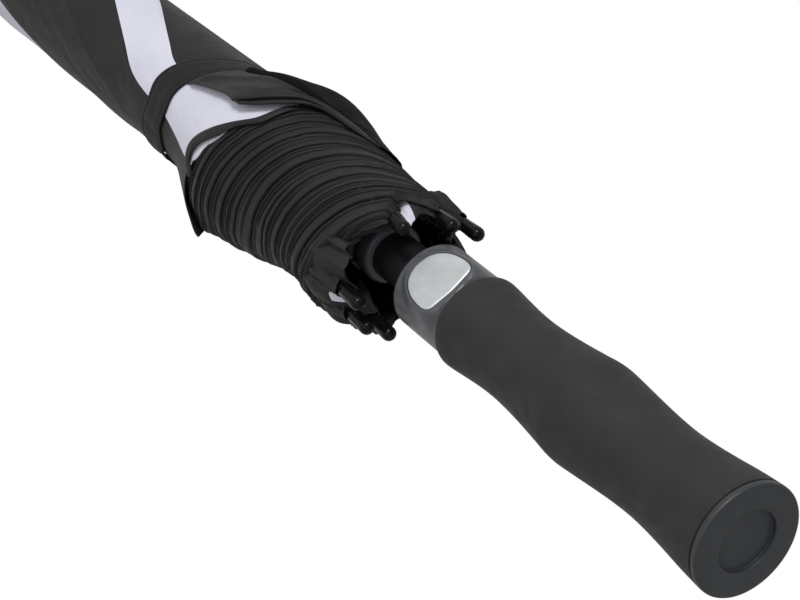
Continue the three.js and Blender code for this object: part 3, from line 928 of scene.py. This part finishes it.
def strap_end():
    """The strap's free end, which peels off its sewn edge."""
    low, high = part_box("strap")
    middle = (low.z + high.z) / 2 / MM
    start = FIRST_RIB + 4 * RIB_STEP + 1.4
    share = np.linspace(0, 1, 40)[None, :]
    across = np.linspace(-1, 1, 13)[:, None]
    corner = np.sqrt(np.clip(1 - np.clip((share - 0.88) / 0.12, 0, 1) ** 2, 0, 1))
    heights = middle + across * 9.0 * (0.72 + 0.28 * corner)
    points = polar(33.2 + 0.25 * np.cos(across * math.pi * 5), start + 42 * share, heights)
    place(thick_grid("strap_end", points, 1.0, [STRAP_CLOTH]), "strap", "pongee", "strap")


FOLD_END = 135.0  # bearing where the fold's far side lies in the pack
ROLL_WIDTH = 8.0  # of the fold's rolled edge, where it is widest


def fold_over():
    """Slack black cloth that comes out from under the strap, laps over the white band and rolls under."""
    side = curve([
        (300, 30), (312, 11), (318, 8.6), (324, 9.4), (340, 8.4), (358, 4.6), (370, 0.3), (380, -3),
    ])
    bottom = curve([
        (0, 313.5), (8.5, 313), (12, 308.6), (16, 304.9), (22, 300.5), (38, 292.6), (48, 286.8),
        (57, 278.7), (68, 269), (85, 264), (105, 268), (135, 284),
    ])
    ridge = curve([(264, 76), (273, 72), (286, 64), (295, 52), (308, 44), (330, 40), (356, 41), (380, 44)])
    columns = 120
    down = np.concatenate([np.linspace(0, 0.8, 60), np.linspace(0.8, 1, 34)[1:]])[:, None]
    over = np.linspace(0, 1, columns)[None, :]
    before, after = np.clip(over * 2, 0, 1) ** 1.2, np.clip(over * 2 - 1, 0, 1) ** 1.2
    share = (1 - down) / 0.2  # of the rolled edge's width, and above 1 over it

    def height_at(bearing):
        """The rows' heights: the last run along the rolled edge, the rest spread out up to the strap."""
        low, high = bottom(bearing), strap_middle(bearing) + 3
        roll_top = low + ROLL_WIDTH * (1 - 0.55 * smoothstep(bearing, 20, 55))
        return np.where(share < 1, low + (roll_top - low) * share, high - down / 0.8 * (high - roll_top))

    start, middle = 0 * down + 9, 0 * down + 50
    for _ in range(40):
        start = side(np.maximum(height_at(start), 316))
        middle = np.maximum(ridge(height_at(middle)), start + 4)
    bearing = start + (middle - start) * before + (FOLD_END - middle) * after
    heights = height_at(bearing)
    share = np.broadcast_to(share, heights.shape)
    inward, beyond, over_strap = bearing - start, bearing - middle, heights - strap_middle(bearing)
    hump = np.interp(
        share,
        [0, 0.06, 0.16, 0.27, 0.31, 0.46, 0.58, 0.76, 1.0], [-0.4, 0.9, 1.1, 0.7, -0.5, -0.5, 1.7, 2.2, 0],
    )
    slit = (share > 0.28) & (inward > 2.4)
    roll = np.where((share < 0.6) & ~(slit & (share < 0.56)), np.maximum(hump, 0.9), hump)
    roll *= 0.25 + 0.75 * smoothstep(inward, 0.3, 3.6)
    roll *= (1 - smoothstep(bearing, 50, 80)) * (share < 1)
    step = 2.0 * smoothstep(beyond, -0.6, 1.4) - 1.2 * bell(beyond, -1.6, 1.3)
    step *= 1 - 0.9 * smoothstep(heights, 348, 374)
    slant = bearing + 0.62 * (heights - 330)
    wrinkles = 1.6 * waves(slant, heights, 24, 110, 42) + 0.7 * waves(slant, heights, 60, 60, 43)
    lip = 0.9 * bell(inward, 0, 3.0)
    relief = 1.6 + lip + roll + wrinkles + step + 0.5 * waves(bearing, heights, 12, 30, 41)
    relief *= (1 - 0.88 * smoothstep(bearing, 36, 64)) * (1 - 0.9 * smoothstep(over_strap, -17, -9))
    skin = skin_radius(bearing, heights)
    under = smoothstep(over_strap, -14, -9.5)
    free = np.maximum(girth(bearing, heights) + 0.9 + relief, skin + 0.3)
    radius = free * (1 - under) + (skin + 0.15) * under
    # Painted shade: the sheet beyond the ridge and the slit above the rolled edge take the darker cloth in
    # place of their shadow.
    painted_shade = (over > 0.5 - 1 / columns) | (slit & (share < 0.62) & (bearing < 76))
    painted_shade_faces = painted_shade.ravel()[grid_faces(*heights.shape)].mean(1) > 0.6
    wound("canopy_fold", radius, bearing, heights, 0.8, [BLACK_CLOTH, PAINTED_SHADE_CLOTH], painted_shade_faces)


def hem_tape():
    """The narrow black hem that stands off below the white band, and the white lining that shows under it."""
    top = curve([
        (-47, 333), (-43, 334.5), (-38, 336), (-31, 335.6), (-23, 332.2), (-11, 322.8), (-1, 313), (10, 304),
        (21, 300.8), (29, 299.6), (50, 296),
    ])
    low = curve([
        (-47, 326), (-43, 326.5), (-38, 329.7), (-32, 329), (-22, 323.0), (-14, 315.6), (-1, 308),
        (10, 299.5), (21, 297), (29, 296), (50, 292.5),
    ])
    bearings = np.linspace(-46.5, 46, 150)[None, :]
    across = np.linspace(0, 1, 17)[:, None]
    heights = low(bearings) * (1 - across) + top(bearings) * across
    stand = 1.0 + 1.4 * bell(bearings, -28, 18) - 1.6 * smoothstep(bearings, 28, 46)
    relief = stand + 0.9 * np.sin(across * math.pi) ** 0.6 - 0.25 * bell(across, 0.55, 0.05)
    wound("hem_tape", girth(bearings, heights) + relief, bearings, heights, 1.0, [BLACK_CLOTH])
    low_edge = curve([
        (-41, 330), (-37.8, 329.2), (-35, 326.6), (-31, 324.2), (-26, 322.4), (-22, 320.2), (-17, 316.8),
        (-13, 314.4), (-6, 312),
    ])
    bearings = np.linspace(-41, -6, 60)[None, :]
    across = np.linspace(0, 1, 12)[:, None]
    heights = low_edge(bearings) * (1 - across) + (low(bearings) + 3) * across
    radius = girth(bearings, heights) + 0.6 + 0.5 * across
    wound("hem_lining", radius, bearings, heights, 0.4, [WHITE_CLOTH])


# Lower edge of the crumpled cloth, which droops to each tip.
VALANCE = curve([
    (-180, 217), (-166, 211), (-150, 219), (-126, 217), (-116, 211), (-104, 214), (-95, 211), (-84, 216),
    (-73, 212), (-62, 216), (-52, 211), (-44, 212.5), (-36, 212.5), (-28, 214.5), (-18, 219), (-6, 218),
    (8, 214), (18, 212), (26, 211), (36, 210), (46, 212), (58, 213), (70, 211), (80, 215), (94, 216),
    (104, 211), (116, 218), (136, 219), (152, 211), (166, 217), (180, 217),
])


def inner_cloth():
    """Crumpled cloth that hangs inside the lowest hems and runs down to the rib tips."""
    columns, rows = 720, 40
    bearings = np.linspace(-180, 180, columns, endpoint=False)[None, :]
    steps = np.linspace(0, 1, rows)[:, None]
    loose, cover = bell(bearings, -72, 26.0, 4), bell(bearings, -33, 16.0, 4)
    bottom = VALANCE(bearings) + 0.9 * waves(bearings, 0, 30, 10, 61)
    heights = bottom + (lowest_hem(bearings) + 9 - bottom) * steps
    uneven = np.radians(bearings + 34 * waves(bearings, 0, 9, 10, 66))
    folds = np.sin(uneven * 13 + 2.2 * waves(bearings, 0, 17, 10, 62))
    fine = np.sin(uneven * 31 + 2.5 * waves(bearings, 0, 31, 10, 63))
    rise = np.sin(math.pi * np.clip(steps * 0.85 + 0.15, 0, 1))
    radius = girth(bearings, heights) - 3.4 + 2.6 * cover
    radius += (1.5 * folds + 0.35 * fine) * (0.4 + 0.6 * rise) - 4.5 * (1 - 0.8 * cover) * (1 - steps) ** 3
    radius += loose * (3.6 * rise + 1.1 * folds * rise + 0.8 * waves(bearings, heights, 20, 11, 64))
    radius += 1.0 * waves(bearings, heights, 30, 14, 65) - 3.0 * bell(bearings, 42, 9.0)
    corner = grid_faces(rows, columns, True)[:, 0]
    row, column = corner // columns, corner % columns
    at, fold = bearings[0, column], folds[0, column]
    white = (at > 36) & (at < 47) & (row < 26)
    white |= (at > -68) & (at < -60) & (row < 9) & (fold > -0.4)
    wound("inner_cloth", radius, bearings, heights, 0.5, [BLACK_CLOTH, WHITE_CLOTH], white, True)


def gathers():
    """Cloth sewn tight round each rib tip."""
    rows, columns = 30, 84
    s = np.linspace(0, 1, rows)[:, None]
    a = np.linspace(0, 2 * math.pi, columns, endpoint=False)[None, :]
    ahead, aside, reach = np.broadcast_arrays(np.cos(a), np.sin(a), s)
    for i in range(1, RIBS + 1):
        pivot, along, out, side, _ = rib_axes(i)
        lobes = 5 + i % 3
        ruffle = np.sin(lobes * a + i * 1.7 + 1.4 * s) * 0.6 + 0.45 * np.sin((lobes + 4) * a + i * 2.9 - s)
        lump = lattice(np.stack([2.2 * ahead, 2.2 * aside, 4 * reach + i * 7.0], -1) + 30.0, 70 + i)
        radius = 3.2 + 0.5 * bell(s, 0, 1 / 16) + 3.3 * s**0.8 + ruffle * (0.25 + 1.25 * s) + lump * 1.3 * s
        distance = RIB_LENGTH - 3.4 - 18.0 * s + 0.9 * np.sin(3 * a + i)
        point = pivot + out * RIB_OFFSET + along * distance[..., None]
        point = point + out * (radius * ahead - 1.9 * s)[..., None] + side * (radius * aside)[..., None]
        cloth_round = thick_grid(f"tip_gather_{i}", point * MM, 0.5, [BLACK_CLOTH], closed=True)
        place(cloth_round, f"rib_{i}", "pongee")


# ---------------- Open canopy
# Each gore is a sheet worked out open between two ribs and folded back to lie beside its rib.


def rotation(axis, angle):
    return np.array(Matrix.Rotation(angle, 3, Vector(axis)))


JOINTS = {joint["name"]: joint for joint in frame["joints"]}
GORE_COLUMNS, GORE_ROWS = 49, 64
HALF_BAND = 30.0  # half the width of the white band
GORE_SPREAD = 0.79  # an open gore's width over its distance from the top
SCALLOP = 42.0  # how far the hem's middle is drawn in
FOLD_WIDTH, FOLD_LEAD = 1.6, 0.6  # of a gore folded beside its rib, and how far it starts before the rib
FAN_FULL = math.radians(JOINTS["gore_fan_1"]["range_deg"][1] - 0.01)


def rib_line(i, distance):
    """Points along rib i of the open umbrella, at a gore's edge."""
    pivot, along, out, _, lean = rib_axes(i)
    lift = rotation(JOINTS[f"rib_hinge_{i}"]["axis"], math.radians(OPEN_ANGLE) - lean)
    return pivot + (along * distance[:, None] + out * CLOTH_LIFT) @ lift.T, lift


def gore(i):
    """One panel, worked out open and folded back to where the closed rib holds it."""
    pivot, along = rib_axes(i)[:2]
    distance = np.linspace(3.0, RIB_LENGTH - 2.0, GORE_ROWS)
    left, lift = rib_line(i, distance)
    right, _ = rib_line(i % RIBS + 1, distance)
    share = (distance / distance[-1])[:, None]
    half_band = np.minimum(HALF_BAND / (GORE_SPREAD * distance), 0.46)
    third = GORE_COLUMNS // 3
    across = np.concatenate([
        np.linspace(0, 0.5 - half_band, third, endpoint=False),
        np.linspace(0.5 - half_band, 0.5 + half_band, GORE_COLUMNS - 2 * third, endpoint=False),
        np.linspace(0.5 + half_band, 1, third),
    ]).T
    open_points = left[:, None, :] * (1 - across[..., None]) + right[:, None, :] * across[..., None]
    arch = 4 * across * (1 - across)
    inward = -(left + right) / 2 * np.array([1, 1, 0.0])
    inward /= np.linalg.norm(inward, axis=1)[:, None]
    scallop = SCALLOP * share**5 * arch
    open_points = open_points + scallop[..., None] * inward[:, None, :] * 0.9
    open_points[..., 2] += scallop * 0.45 - 4.0 * np.sin(math.pi * share) * arch * share
    rest_frame = pivot + (open_points.reshape(-1, 3) - pivot) @ lift
    fan = JOINTS[f"gore_fan_{i}"]
    centre, axis = np.array(fan["pos_m"], float) / MM, np.array(fan["axis"], float)
    axis /= np.linalg.norm(axis)
    fold_way = np.cross(axis, along)
    fold_way /= np.linalg.norm(fold_way)
    begin, reach = centre + along * 400 - fold_way * FOLD_LEAD, fold_way * FOLD_WIDTH
    folded = fold_back(rest_frame, centre, axis, begin, reach)
    faces = grid_faces(GORE_ROWS, GORE_COLUMNS)
    column = faces[:, 0] % GORE_COLUMNS
    banded = (column >= third) & (column < GORE_COLUMNS - third) & (i % 2 == 1)
    obj = mesh_object(f"gore_cloth_{i}", folded * MM, faces, [BLACK_CLOTH, WHITE_CLOTH], banded)
    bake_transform(obj)


def fold_back(points, centre, axis, begin, reach):
    """The rest position of each point, turned back about the fan's axis by a weight that grows across the
    fold.
    """
    low, high = np.zeros(len(points)), np.ones(len(points))

    def turned_back(weight):
        angle = -weight * FAN_FULL
        p = points - centre
        c, s = np.cos(angle)[:, None], np.sin(angle)[:, None]
        return centre + p * c + np.cross(axis, p) * s + np.outer(p @ axis, axis) * (1 - c)

    def weight_at(p):
        return smoothstep(((p - begin) @ reach) / (reach @ reach))

    for _ in range(48):
        middle = (low + high) / 2
        more = weight_at(turned_back(middle)) > middle
        low = np.where(more, middle, low)
        high = np.where(more, high, middle)
    return turned_back((low + high) / 2)


# ---------------- Build

grip()
end_cap()
push_button()
collar()
inner_parts()
shaft_and_runner()
top_pieces()
rib_ends()
wrapped_hems()
wrapped_skin()
wrap_strap()
strap_end()
fold_over()
hem_tape()
inner_cloth()
gathers()
for number in range(1, RIBS + 1):
    gore(number)


def floor():
    """A pale floor, well below the butt so that the open umbrella can be seen from under the canopy."""
    mesh = bpy.data.meshes.new("floor")
    work = bmesh.new()
    bmesh.ops.create_grid(work, x_segments=1, y_segments=1, size=12)
    work.to_mesh(mesh)
    work.free()
    mesh.materials.append(plastic("pale_floor", (0.80, 0.80, 0.79), 0.8))
    ground = into_scene(bpy.data.objects.new("floor", mesh))
    ground.location = (0, 0, -2.4)


floor()
